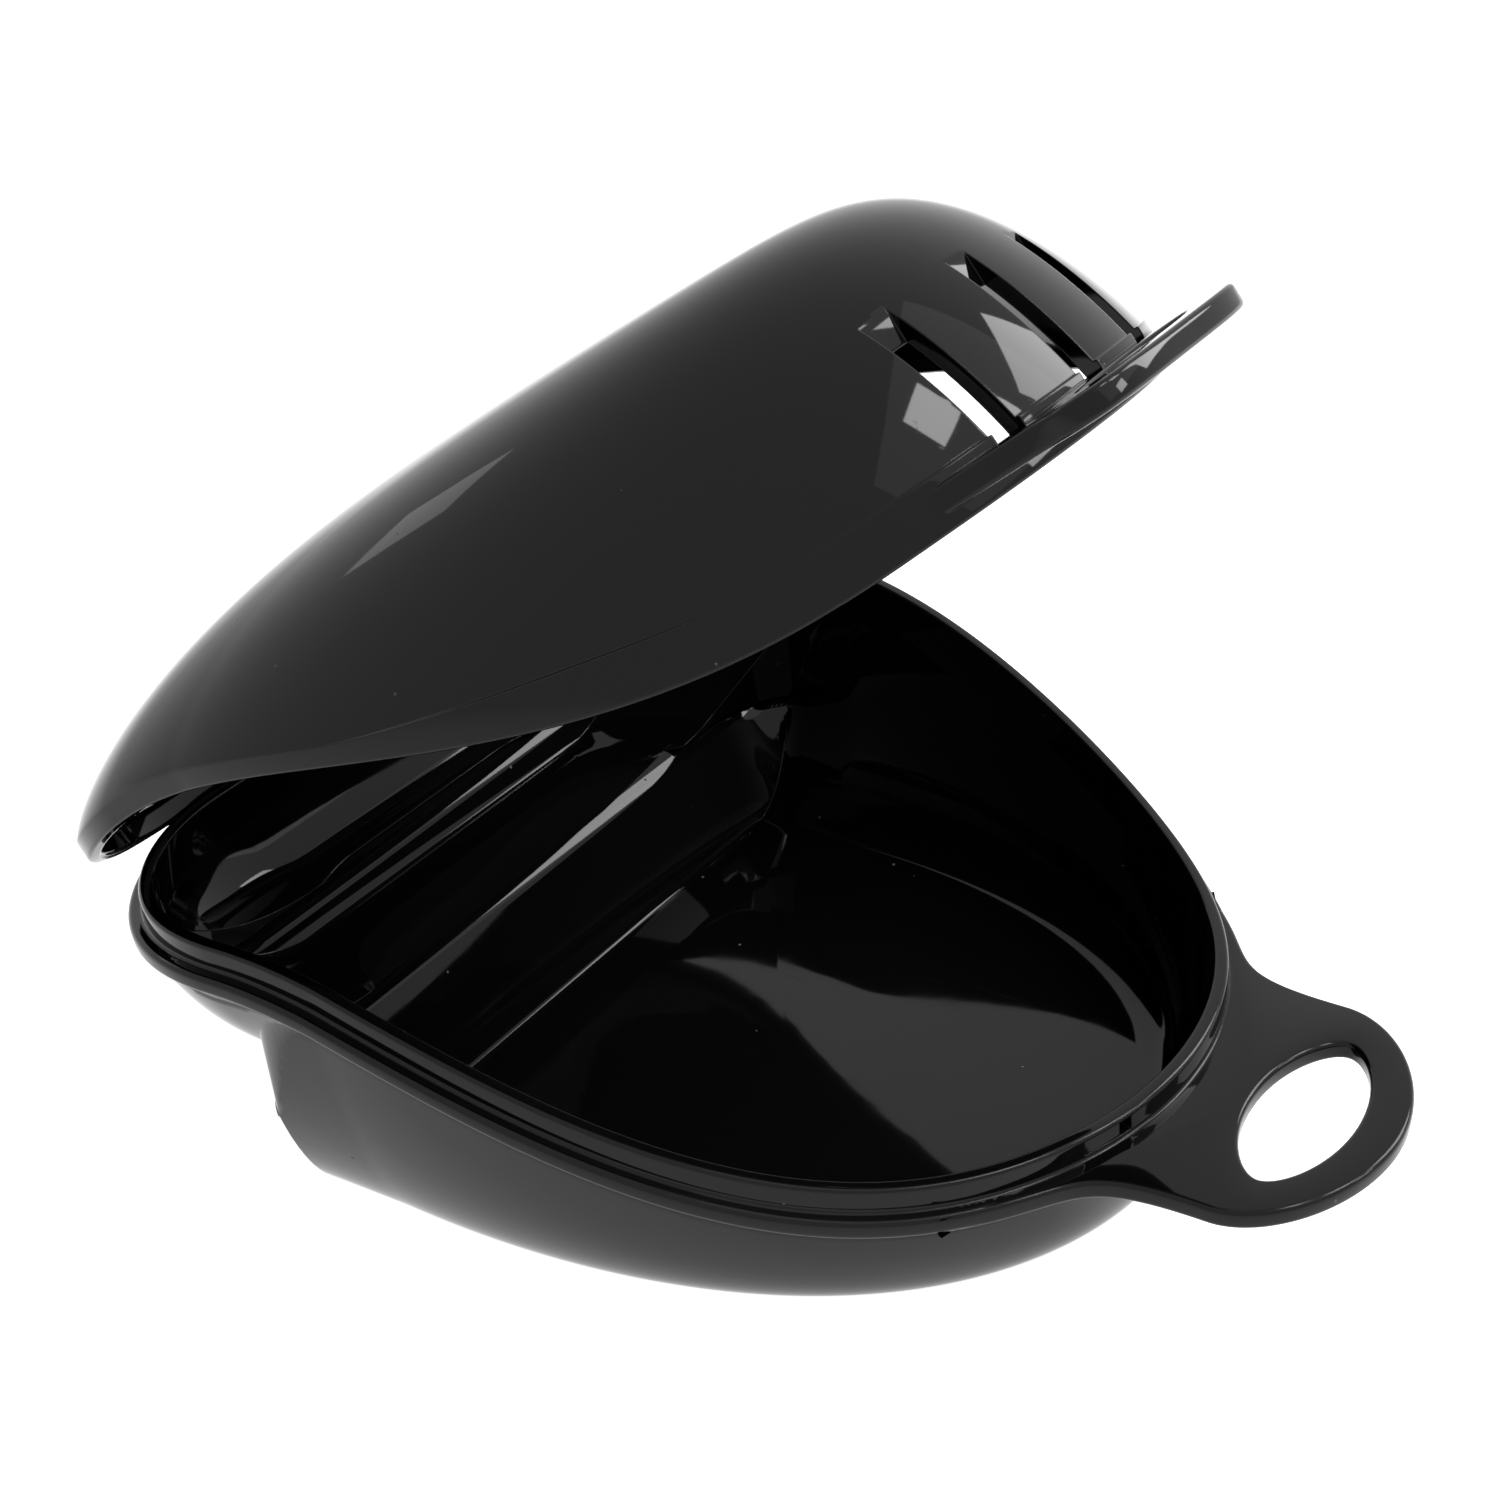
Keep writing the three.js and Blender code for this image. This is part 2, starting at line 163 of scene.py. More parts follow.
def solid(name: str, rings: Array) -> bpy.types.Object:
    """Closed surface through rings listed from the top down, each turning anticlockwise.

    The side is the grid of ring number by place on the ring. Each end is a fan to its centre.

    Args:
        name: name of the new object.
        rings: array of shape (rings, places, 3) in millimetres.

    Returns:
        The object, with its mesh in millimetres.
    """
    count, places, _ = rings.shape
    index = np.arange(count * places).reshape(count, places)
    after = np.roll(index, -1, axis=1)
    quads = np.stack([index[:-1], index[1:], after[1:], after[:-1]], axis=-1).reshape(-1, 4)
    top, bottom = count * places, count * places + 1
    lid_fan = np.stack([np.full(places, top), index[0], after[0]], axis=-1)
    base_fan = np.stack([np.full(places, bottom), after[-1], index[-1]], axis=-1)
    ends = np.stack([rings[0].mean(axis=0), rings[-1].mean(axis=0)])
    points = np.concatenate([rings.reshape(-1, 3), ends])
    fans = np.concatenate([lid_fan, base_fan])
    loops = np.concatenate([quads.ravel(), fans.ravel()]).astype(np.int32)
    sizes = np.concatenate([np.full(len(quads), 4), np.full(len(fans), 3)])
    starts = np.concatenate([[0], np.cumsum(sizes)[:-1]]).astype(np.int32)
    mesh = bpy.data.meshes.new(name)
    mesh.vertices.add(len(points))
    mesh.vertices.foreach_set("co", points.astype(np.float32).ravel())
    mesh.loops.add(len(loops))
    mesh.loops.foreach_set("vertex_index", loops)
    mesh.polygons.add(len(sizes))
    mesh.polygons.foreach_set("loop_start", starts)
    mesh.update(calc_edges=True)
    piece = bpy.data.objects.new(name, mesh)
    bpy.context.scene.collection.objects.link(piece)
    return piece


def rod(name: str, radius: float, start: float, end: float, y: float, z: float,
        rounding: float, places: int = ROD_PLACES) -> bpy.types.Object:
    """Round bar along x: a circle carried along the axis, drawn in by a quarter arc at each end.

    Args:
        name: name of the new object.
        radius: radius of the bar.
        start: x of one end.
        end: x of the other end.
        y: place of the axis along the case.
        z: height of the axis.
        rounding: radius of the end arcs.
        places: how many points go round.

    Returns:
        The bar.
    """
    angle = quarter(ARC_STEPS)
    inwards = rounding * (1 - np.cos(angle))
    along = rounding * (1 - np.sin(angle))
    x = np.concatenate([start + along[::-1], end - along])
    reach = radius - np.concatenate([inwards[::-1], inwards])
    turn = np.linspace(0.0, 2 * math.pi, places, endpoint=False)
    rings = np.stack([
        np.broadcast_to(x[:, None], (len(x), places)),
        y + reach[:, None] * np.cos(turn),
        z + reach[:, None] * np.sin(turn),
    ], axis=-1)
    return solid(name, rings[::-1])


def combine(base: bpy.types.Object,
            steps: Sequence[tuple[Cut, bpy.types.Object]]) -> bpy.types.Object:
    """Joins, removes or keeps closed meshes one after another, and clears the tools away.

    Args:
        base: the mesh to change.
        steps: what to do, and with which mesh.

    Returns:
        The base, with its new mesh.
    """
    for how, tool in steps:
        change = base.modifiers.new(tool.name, "BOOLEAN")
        change.operation = how.value
        change.solver = "MANIFOLD"
        change.object = tool
    graph = bpy.context.evaluated_depsgraph_get()
    mesh = bpy.data.meshes.new_from_object(base.evaluated_get(graph))
    base.modifiers.clear()
    old = base.data
    base.data = mesh
    bpy.data.meshes.remove(old)
    for _, tool in steps:
        spent = tool.data
        bpy.data.objects.remove(tool)
        bpy.data.meshes.remove(spent)
    if not len(mesh.polygons):
        raise RuntimeError(f"{base.name} came out empty")
    return base


@dataclass(frozen=True)
class Inset:
    """How far the flat floor lies inside the edge above it, in millimetres."""

    side: float = 0.0
    nose: float = 0.0
    rear: float = 0.0


@dataclass(frozen=True)
class Rim:
    """Plan and side profile of the raised lip, which every other form follows."""

    length: float = 78.0
    half_width: float = 37.1
    rear_half_width: float = 37.5
    widest_back: float = 28.0
    rear_corner: float = 18.2
    nose_side_reach: float = 27.1
    nose_tip_reach: float = 21.65
    corner_kept: float = 0.3
    nose_height: float = 11.0
    rise: float = 13.7
    crest_back: float = 20.0
    flat_back: float = 73.0
    rear_drop: float = 1.5
    lip_height: float = 1.9

    def top(self, y: Array) -> Array:
        """Height of the flange: level at the nose, a smooth climb to a crest, a fall behind."""
        climb = ease((self.flat_back + y) / (self.flat_back - self.crest_back))
        fall = ease((self.crest_back + y) / self.crest_back)
        return self.nose_height + self.rise * climb - self.rear_drop * fall

    def plan(self, grow: float, inset: Inset = Inset()) -> Array:
        """Plan outline moved outwards: a straight rear, a quarter-round corner, a straight side
        and one cubic curve to the nose, mirrored to the other side.

        Args:
            grow: how far outwards of the lip's outer face.
            inset: how far the floor draws in from it.

        Returns:
            Anticlockwise points of shape (n, 2), from the rear centre.
        """
        side = self.half_width + grow - inset.side
        rear_side = self.rear_half_width + grow - inset.side
        back = grow - inset.rear
        nose = inset.nose - self.length - grow
        corner = self.rear_corner + grow - inset.side * self.corner_kept
        bend = CIRCLE_BEND * corner
        tip = self.nose_tip_reach * side / self.half_width
        along_rear, round_corner, along_side, round_nose = RIM_PLACES
        half = np.concatenate([
            straight((0, back), (corner - rear_side, back), along_rear),
            bezier([(corner - rear_side, back), (corner - rear_side - bend, back),
                    (-rear_side, back - corner + bend), (-rear_side, back - corner)], round_corner),
            straight((-rear_side, back - corner), (-side, -self.widest_back), along_side),
            bezier([(-side, -self.widest_back), (-side, -self.widest_back - self.nose_side_reach),
                    (-tip, nose), (0, nose)], round_nose),
            [[0.0, nose]],
        ])
        return np.concatenate([half, half[1:-1][::-1] * [-1.0, 1.0]])

    def ring(self, grow: float, rise: float) -> Array:
        """Outline moved outwards, at a height above the flange's top."""
        plan = self.plan(grow)
        return level(plan, self.top(plan[:, 1]) + rise)


@dataclass(frozen=True)
class RingTab:
    """Flat finger ring: a neck that flares into the shell, a round end and an oval hole."""

    tip: float
    half_width: float
    widest_out: float
    tip_reach: float
    side_reach: float
    neck_reach: float
    shoulder_x: float
    shoulder_inset: float
    shoulder_in: float
    shoulder_out: float
    hole_half: float
    hole_near: float
    hole_far: float
    bottom: float
    thickness: float
    edge: float = 0.4
    hole_flat: float = 0.6
    hole_bulge: float = 0.35

    def outline(self, rim: Rim) -> Array:
        """Anticlockwise outline: four cubic curves from one shoulder round the tip to the other."""
        end, widest = -rim.length - self.tip, -rim.length - self.widest_out
        foot, w = self.shoulder_inset - rim.length, self.half_width
        right = np.concatenate([
            bezier([(0, end), (self.tip_reach, end), (w, widest - self.side_reach), (w, widest)],
                   TAB_PLACES),
            bezier([(w, widest), (w, widest + self.neck_reach),
                    (self.shoulder_x - self.shoulder_in, foot - self.shoulder_out),
                    (self.shoulder_x, foot)], TAB_PLACES),
            [[self.shoulder_x, foot]],
        ])
        return np.concatenate([right, right[1:][::-1] * [-1.0, 1.0]])

    def hole(self, rim: Rim) -> Array:
        """Anticlockwise oval with pointed sides: four cubic curves through its near, far and
        side points."""
        near, far = -rim.length - self.hole_near, -rim.length - self.hole_far
        middle, bulge = (near + far) / 2, (near - far) / 2 * self.hole_bulge
        flat, w = self.hole_half * self.hole_flat, self.hole_half
        return np.concatenate([
            bezier([(0, far), (flat, far), (w, middle - bulge), (w, middle)], HOLE_PLACES),
            bezier([(w, middle), (w, middle + bulge), (flat, near), (0, near)], HOLE_PLACES),
            bezier([(0, near), (-flat, near), (-w, middle + bulge), (-w, middle)], HOLE_PLACES),
            bezier([(-w, middle), (-w, middle - bulge), (-flat, far), (0, far)], HOLE_PLACES),
        ])

    def build(self, rim: Rim, name: str) -> tuple[bpy.types.Object, bpy.types.Object]:
        """Plate with rounded edges, and the flared tool that opens its hole.

        Args:
            rim: the rim it grows from.
            name: first part of the objects' names.

        Returns:
            The plate and the tool.
        """
        outline, hole = self.outline(rim), self.hole(rim)
        top = self.bottom + self.thickness
        angle = quarter(TAB_STEPS)
        inwards, down = self.edge * (1 - np.sin(angle)), self.edge * (1 - np.cos(angle))
        upper = [level(offset(outline, -i), top - d) for i, d in zip(inwards, down)]
        lower = [level(offset(outline, -i), self.bottom + d) for i, d in zip(inwards, down)][::-1]
        plate = solid(name, np.stack([*upper, *lower]))
        flare = [level(offset(hole, i), top - d) for i, d in zip(inwards, down)]
        below = [level(offset(hole, i), self.bottom + d) for i, d in zip(inwards, down)][::-1]
        mouth = offset(hole, self.edge)
        tool = solid(name + "_hole", np.stack([
            level(mouth, top + HOLE_OVERRUN), *flare, *below,
            level(mouth, self.bottom - HOLE_OVERRUN)]))
        return plate, tool


@dataclass(frozen=True)
class Hinge:
    """Pin joint behind the rear edge."""

    back: float = 1.3
    above_rim: float = 0.9
    knuckle: float = 1.6
    pin: float = 0.6
    knuckle_edge: float = 0.25
    pin_edge: float = 0.15
    room_edge: float = 0.05
    bore_edge: float = 0.1
    lid_half: float = 6.5
    tray_width: float = 6.0
    play: float = 0.3
    opening: float = 35.95

    def height(self, rim: Rim) -> float:
        """Height of the axis."""
        return float(rim.top(np.array(0.0))) + self.above_rim

    @property
    def tray_from(self) -> float:
        """Where the tray's knuckles start, from the middle."""
        return self.lid_half + self.play

    @property
    def tray_to(self) -> float:
        """Where the tray's knuckles end."""
        return self.tray_from + self.tray_width


@dataclass(frozen=True)
class Latch:
    """Bump in the lid and window in the tray's lip, one pair on each side of the nose."""

    x: float = 10.2
    width: float = 4.4
    window: float = 1.2

    def bottom(self, rim: Rim) -> float:
        """Height of the window's lower edge, which centres it in the lip."""
        return rim.nose_height + (rim.lip_height - self.window) / 2

    def block(self, rim: Rim, side: int, start: float, end: float, low: float, high: float,
              width: float, name: str) -> bpy.types.Object:
        """Block square to the lip at a latch place, from start to end outwards of its face.

        Args:
            rim: the rim that carries it.
            side: -1 for the left latch, 1 for the right one.
            start: inner end, outwards of the lip's outer face.
            end: outer end.
            low: height of its underside.
            high: height of its top.
            width: size along the lip.
            name: name of the new object.

        Returns:
            The block.
        """
        plan = rim.plan(0.0)
        near = plan[plan[:, 1] < -rim.widest_back]
        at = int(np.argmin(np.abs(near[:, 0] - side * self.x)))
        along = near[at + 1] - near[at - 1]
        along /= np.linalg.norm(along)
        out = np.array([along[1], -along[0]])
        half = along * width / 2
        path = np.stack([near[at] + out * start - half, near[at] + out * start + half,
                         near[at] + out * end + half, near[at] + out * end - half])[::-1]
        return solid(name, np.stack([level(path, high), level(path, low)]))


@dataclass(frozen=True)
class Placing:
    """Turns millimetres in the moulder's frame into metres in the shared frame."""

    shift: float = 46.766

    def place(self, piece: bpy.types.Object, pivot: tuple[float, float] | None = None,
              turn: float = 0.0) -> None:
        """Places a mesh, after turning it about a line along x where a pivot is given.

        Each point turns by y cos + z sin and z cos - y sin about the pivot, then moves and shrinks.

        Args:
            piece: the object whose mesh is placed.
            pivot: y and z of the line.
            turn: opening angle in degrees.
        """
        mesh = piece.data
        flat = np.empty(len(mesh.vertices) * 3, np.float32)
        mesh.vertices.foreach_get("co", flat)
        points = flat.reshape(-1, 3).astype(float)
        if pivot is not None:
            cos, sin = math.cos(math.radians(turn)), math.sin(math.radians(turn))
            y, z = points[:, 1] - pivot[0], points[:, 2] - pivot[1]
            points[:, 1] = pivot[0] + y * cos + z * sin
            points[:, 2] = pivot[1] + z * cos - y * sin
        points[:, 1] += self.shift
        mesh.vertices.foreach_set("co", (points * MM).astype(np.float32).ravel())
        mesh.update()


def polish(piece: bpy.types.Object) -> None:
    """Shades a mesh smooth, with its true edges kept sharp."""
    mesh = piece.data
    mesh.polygons.foreach_set("use_smooth", np.ones(len(mesh.polygons), bool))
    mesh.set_sharp_from_angle(angle=SHARP_ANGLE)
    mesh.update()


# Sub-assemblies


@dataclass(frozen=True)
class Level:
    """One level of the tray: its floor's height, how far its riser's top lies in front of the
    lip's rear, and how far its floor is drawn in."""

    floor: float
    riser: float
    inset: Inset


@dataclass
class TrayShell:
    """Lower shell: stepped bowl, flange, raised lip, latch windows, ring tab and two knuckles."""

    rim: Rim
    hinge: Hinge
    latch: Latch
    wall: float = 1.5
    lip_thickness: float = 1.2
    lip_edge: float = 0.35
    lip_foot: float = 0.3
    flange_out: float = 1.2
    flange_thickness: float = 1.5
    flange_edge: float = 0.5
    collar_in: float = 2.4
    mouth_edge: float = 0.3
    shoulder_drop: float = 0.5
    least_depth: float = 0.5
    floor_thickness: float = 1.6
    levels: tuple[Level, ...] = (
        Level(15.0, 0.0, Inset(16.0, 5.0, 4.0)),
        Level(12.0, 6.0, Inset(16.0, 5.0, 3.0)),
        Level(1.6, 17.0, Inset(9.5, 5.0, 3.0)),
    )
    bowl_curve: tuple[tuple[float, float], ...] = (
        (0.0, 1.0), (0.15, 0.55), (0.35, 0.0), (1.0, 0.0))
    level_corner: float = 11.5
    riser_lean: float = 0.35
    nose_share: float = 0.45
    nose_inside: float = 1.4
    nose_outside: float = 0.15
    foot_curve: tuple[tuple[float, float], ...] = (
        (0.175, 0.5), (0.255, 0.27), (0.32, 0.0), (0.48, 0.0))
    tight_foot: tuple[tuple[float, float], ...] = (
        (0.325, 0.07), (0.345, 0.014), (0.36, 0.0), (0.42, 0.0))
    roll_power: float = 1.35
    tab: RingTab = RingTab(
        tip=15.5, half_width=12.9, widest_out=6.6, tip_reach=6.6, side_reach=4.35, neck_reach=10.7,
        shoulder_x=22.6, shoulder_inset=8.75, shoulder_in=6.9, shoulder_out=7.65,
        hole_half=8.4, hole_near=4.7, hole_far=12.3, bottom=9.5, thickness=1.5)

    def bowl(self, grow: float, floor: float, inset: Inset, upper: Sequence[Array],
             name: str) -> bpy.types.Object:
        """Bowl under the rim: from the shoulder to the flat floor, each point of the edge follows
        one cubic curve, steep at first and level at the end.

        Args:
            grow: how far outwards of the lip's outer face.
            floor: height of the flat floor.
            inset: how far the flat floor lies inside the edge.
            upper: rings above the shoulder, from the top down.
            name: name of the new object.

        Returns:
            The bowl as a solid.
        """
        edge, base = self.rim.plan(grow), self.rim.plan(grow, inset)
        shoulder = self.rim.top(edge[:, 1]) - self.flange_thickness - self.shoulder_drop
        low = np.minimum(floor, shoulder - self.least_depth)
        curve = np.concatenate([bezier(self.bowl_curve, BOWL_STEPS), [self.bowl_curve[-1]]])
        share, climb = curve[:, 0, None, None], curve[:, 1, None]
        plan = edge + (base - edge) * share
        rings = np.concatenate([plan, (low + (shoulder - low) * climb)[..., None]], axis=-1)
        return solid(name, np.concatenate([np.stack(upper), rings]))

    def step_tool(self, number: int, grow: float, under: float, shift: float,
                  nose_limit: float) -> bpy.types.Object:
        """Everything in front of one riser, as a solid with rounded rear corners.

        The riser's profile rolls over its top onto the level behind, by a quarter turn whose sine
        and cosine are raised to a power that flattens its middle. It leans back along its face, and
        sweeps along one cubic curve onto its own floor.

        Args:
            number: which level it opens.
            grow: how far outwards of the lip's outer face.
            under: how far the floors are lowered.
            shift: how far the riser moves to the rear.
            nose_limit: largest radius at the riser's top.

        Returns:
            The solid.
        """
        upper, lower = self.levels[number - 1].floor - under, self.levels[number].floor - under
        tall = upper - lower
        nose = min(nose_limit, self.nose_share * tall)
        at = shift - self.levels[number].riser
        turn = quarter(ROLL_STEPS)
        down = nose * (1 - np.cos(turn) ** self.roll_power)
        foot = self.foot_curve
        if shift == 0.0 and number == len(self.levels) - 1:
            foot = self.tight_foot
        sweep = np.concatenate([bezier(foot, SWEEP_STEPS), [foot[-1]]]) * tall
        z = np.concatenate([[STEP_TOP, upper + STEP_LIFT], upper - down, lower + sweep[:, 1],
                            [-STEP_OVERRUN]])
        rolled = at + nose * (1 - np.sin(turn) ** self.roll_power)
        rear = np.concatenate([[at, at], rolled - down * self.riser_lean,
                               at - sweep[:, 0], [at - sweep[-1, 0]]])
        wide, radius = self.rim.half_width + grow, self.level_corner + grow
        front, bend = -self.rim.length - STEP_OVERRUN, radius * LEVEL_BEND
        along_side, round_corner, along_rear = LEVEL_PLACES
        rings = []
        for height, back in zip(z, rear):
            path = np.concatenate([
                straight((wide, front), (wide, back - radius), along_side),
                bezier([(wide, back - radius), (wide, back - radius + bend),
                        (wide - radius + bend, back), (wide - radius, back)], round_corner),
                straight((wide - radius, back), (0, back), along_rear),
                [[0.0, back]],
            ])
            path = np.concatenate([path, path[:-1][::-1] * [-1.0, 1.0]])
            rings.append(level(path, height))
        return solid("step_tool", np.stack(rings))

    def stepped(self, grow: float, under: float, shift: float, upper: Sequence[Array],
                nose_limit: float, name: str) -> bpy.types.Object:
        """Three bowls joined into one stepped form, the deeper two kept in front of their risers."""
        top = self.levels[0]
        whole = self.bowl(grow, top.floor - under, top.inset, upper, name)
        for number in range(1, len(self.levels)):
            here = self.levels[number]
            deeper = self.bowl(grow, here.floor - under, here.inset, upper, f"{name}_{number}")
            tool = self.step_tool(number, grow, under, shift, nose_limit)
            combine(whole, [(Cut.JOIN, combine(deeper, [(Cut.KEEP, tool)]))])
        return whole

    def collar(self) -> list[tuple[Cut, bpy.types.Object]]:
        """Flange and lip: rings at small distances outwards and above the flange's top."""
        turn, inner = quarter(ARC_STEPS), -self.collar_in
        rim, out, thick, edge = self.rim, self.flange_out, self.flange_thickness, self.flange_edge
        away, fall = edge * (1 - np.sin(turn)), edge * (1 - np.cos(turn))
        flange = [rim.ring(inner, 0.0)]
        flange += [rim.ring(out - a, -f) for a, f in zip(away, fall)]
        flange += [rim.ring(out - a, f - thick) for a, f in zip(away[::-1], fall[::-1])]
        flange += [rim.ring(inner, -thick)]
        top, small = rim.lip_height, self.lip_edge
        lip = [rim.ring(inner, top)]
        lip += [rim.ring(-small * (1 - math.sin(t)), top - small * (1 - math.cos(t))) for t in turn]
        lip += [rim.ring(self.lip_foot * (1 - math.sin(t)), self.lip_foot * (1 - math.cos(t)))
                for t in turn[::-1]]
        lip += [rim.ring(self.lip_foot, -thick / 2)]
        return [(Cut.JOIN, solid("flange", np.stack(flange))), (Cut.JOIN, solid("lip", np.stack(lip)))]

    def build(self) -> bpy.types.Object:
        """Joins the forms, hollows them and opens the windows, the hole and the pin's bore.

        Returns:
            The shell in millimetres.
        """
        rim, hinge, turn = self.rim, self.hinge, quarter(ARC_STEPS)
        grow = self.wall - self.lip_thickness
        under_flange = [rim.ring(grow, -self.flange_thickness / 2)]
        shell = self.stepped(grow, self.floor_thickness, self.wall, under_flange,
                             self.nose_outside, "tray_shell")
        plate, hole = self.tab.build(rim, "tray_tab")
        parts = self.collar() + [(Cut.JOIN, plate)]
        height = hinge.height(rim)
        for start, end in ((-hinge.tray_to, -hinge.tray_from), (hinge.tray_from, hinge.tray_to)):
            parts.append((Cut.JOIN, rod("knuckle", hinge.knuckle, start, end, hinge.back, height,
                                        hinge.knuckle_edge)))
        soft = self.mouth_edge
        flare = [rim.ring(soft - self.lip_thickness, rim.lip_height + OVERRUN)]
        flare += [rim.ring(soft * (1 - math.sin(t)) - self.lip_thickness,
                           rim.lip_height - soft * (1 - math.cos(t))) for t in turn]
        space = self.stepped(-self.lip_thickness, 0.0, 0.0, flare, self.nose_inside, "space")
        parts.append((Cut.REMOVE, space))
        parts.append((Cut.REMOVE, rod("lid_room", hinge.knuckle + hinge.play, -hinge.tray_from,
                                      hinge.tray_from, hinge.back, height, hinge.room_edge)))
        reach = hinge.tray_to + OVERRUN
        parts.append((Cut.REMOVE, rod("bore", hinge.pin + hinge.play, -reach, reach, hinge.back,
                                      height, hinge.bore_edge)))
        low = self.latch.bottom(rim)
        for side in (-1, 1):
            parts.append((Cut.REMOVE, self.latch.block(
                rim, side, -OVERRUN, OVERRUN, low, low + self.latch.window, self.latch.width,
                "window")))
        parts.append((Cut.REMOVE, hole))
        return combine(shell, parts)


@dataclass
class LidShell:
    """Upper shell: dome, rim band, vent slots, ring tab, latch bumps and the middle knuckle."""

    rim: Rim
    hinge: Hinge
    latch: Latch
    gap: float = 0.4
    out: float = 2.0
    wall: float = 1.2
    rear_inset: float = 0.5
    band: float = 1.5
    tall_band: float = 3.5
    tall_from: float = 38.0
    tall_over: float = 24.0
    ledge: float = 0.14
    least_ledge_share: float = 0.03
    edge: float = 0.3
    crown: float = 33.8
    focus_back: float = 61.4
    slope: float = 0.07
    plan_power: float = 0.63
    rise_power: float = 1.55
    spacing_power: float = 1.8
    vent_width: float = 2.4
    vent_pitch: float = 9.0
    vent_depths: tuple[float, float, float] = (3.5, 2.1, 3.5)
    vent_slant: float = 0.4
    vent_bottom: float = 0.2
    tab: RingTab = RingTab(
        tip=9.2, half_width=11.4, widest_out=5.15, tip_reach=5.75, side_reach=4.35, neck_reach=2.5,
        shoulder_x=17.0, shoulder_inset=4.0, shoulder_in=2.5, shoulder_out=3.0,
        hole_half=7.2, hole_near=3.5, hole_far=7.0, bottom=12.4, thickness=1.8)

    def plan(self, out: float) -> Array:
        """Outline of the lid at a distance outwards of the lip, drawn in a little at the rear."""
        return self.rim.plan(out, Inset(0.0, 0.0, self.rear_inset))

    def dome(self, out: float, crown: float, lower: Sequence[Array], start: Array | float,
             name: str) -> bpy.types.Object:
        """Dome over the band: a point draws in towards the focus by cos(a) to the plan power,
        while it climbs to the crown by sin(a) to the rise power, a running from the band to 90
        degrees.

        Args:
            out: distance outwards of the lip.
            crown: height of the crown over the focus.
            lower: rings below the dome, from the top down.
            start: climb already reached at the band, from 0 to 1, for each point.
            name: name of the new object.

        Returns:
            The dome as a solid.
        """
        path = self.plan(out)
        foot = self.rim.top(path[:, 1]) + self.gap + self.band
        first = np.arcsin(np.clip(start, 0.0, 1.0) ** (1 / self.rise_power)) * np.ones(len(path))
        t = np.linspace(1.0, 0.0, DOME_STEPS)[1:, None]
        angle = first + (math.pi / 2 - first) * (1 - (1 - t) ** self.spacing_power)
        share = np.cos(angle)[..., None] ** self.plan_power
        focus = np.array([0.0, -self.focus_back])
        plan = focus + (path - focus) * share
        top = crown + self.slope * (plan[..., 1] + self.focus_back)
        height = foot + (top - foot) * np.sin(angle) ** self.rise_power
        rings = np.concatenate([plan, height[..., None]], axis=-1)
        return solid(name, np.concatenate([rings, np.stack(lower)]))

    def vents(self) -> list[tuple[Cut, bpy.types.Object]]:
        """Slots through the nose: upright tools whose inner ends follow the outline's slant."""
        rim, half = self.rim, self.vent_width / 2
        low = rim.nose_height + self.gap + self.band + self.vent_bottom
        front = -rim.length - self.out - OVERRUN
        cuts = []
        for place, depth in zip((-1, 0, 1), self.vent_depths):
            middle, end, slant = place * self.vent_pitch, depth - rim.length, place * self.vent_slant
            path = np.array([(middle - half, front), (middle + half, front),
                             (middle + half, end + slant), (middle - half, end - slant)])
            tool = solid("vent", np.stack([level(path, self.crown + OVERRUN), level(path, low)]))
            cuts.append((Cut.REMOVE, tool))
        return cuts

    def build(self) -> bpy.types.Object:
        """Joins the dome, tab, knuckle and bumps, and cuts the hollow, the vents and the bore.

        Returns:
            The shell in millimetres, shut.
        """
        rim, hinge, gap = self.rim, self.hinge, self.gap
        turn = quarter(ARC_STEPS)
        path = self.plan(self.out)
        y = path[:, 1]
        base = rim.top(y) + gap
        taller = (self.tall_band - self.band) * ease((-y - self.tall_from) / self.tall_over)
        crown_here = self.crown + self.slope * (y + self.focus_back)
        start = taller / (crown_here - base - self.band)
        grown = np.maximum(taller / (self.tall_band - self.band), self.least_ledge_share)
        lower = []
        for t in turn[::-1]:
            drawn = path + (offset(path, -self.ledge * (1 - math.cos(t))) - path) * grown[:, None]
            fall = self.ledge * grown * (1 - math.sin(t))
            lower.append(level(drawn, base + self.band + taller - fall))
        for t in turn[::-1]:
            lower.append(level(offset(path, -self.edge * (1 - math.sin(t))),
                               base + self.edge * (1 - math.cos(t))))
        shell = self.dome(self.out, self.crown, lower, start, "lid_shell")
        inner_path = self.plan(self.out - self.wall)
        inner_base = rim.top(inner_path[:, 1]) + gap
        soft = [level(offset(inner_path, self.edge * (1 - math.cos(t))),
                      inner_base + self.edge * (1 - math.sin(t))) for t in turn]
        soft.append(level(offset(inner_path, self.edge), inner_base - OVERRUN))
        hollow = self.dome(self.out - self.wall, self.crown - self.wall, soft, 0.0, "hollow")
        plate, hole = self.tab.build(rim, "lid_tab")
        height = hinge.height(rim)
        parts = self.vents() + [(Cut.JOIN, plate), (Cut.REMOVE, hollow), (Cut.REMOVE, hole)]
        for start_x, end_x in ((-hinge.tray_to, -hinge.tray_from), (hinge.tray_from, hinge.tray_to)):
            parts.append((Cut.REMOVE, rod("tray_room", hinge.knuckle + hinge.play, start_x - hinge.play,
                                          end_x + hinge.play, hinge.back, height, hinge.room_edge)))
        parts.append((Cut.JOIN, rod("knuckle", hinge.knuckle, -hinge.lid_half, hinge.lid_half,
                                    hinge.back, height, hinge.knuckle_edge)))
        reach = hinge.lid_half + OVERRUN
        parts.append((Cut.REMOVE, rod("bore", hinge.pin + hinge.play, -reach, reach, hinge.back,
                                      height, hinge.bore_edge)))
        low = self.latch.bottom(rim)
        for side in (-1, 1):
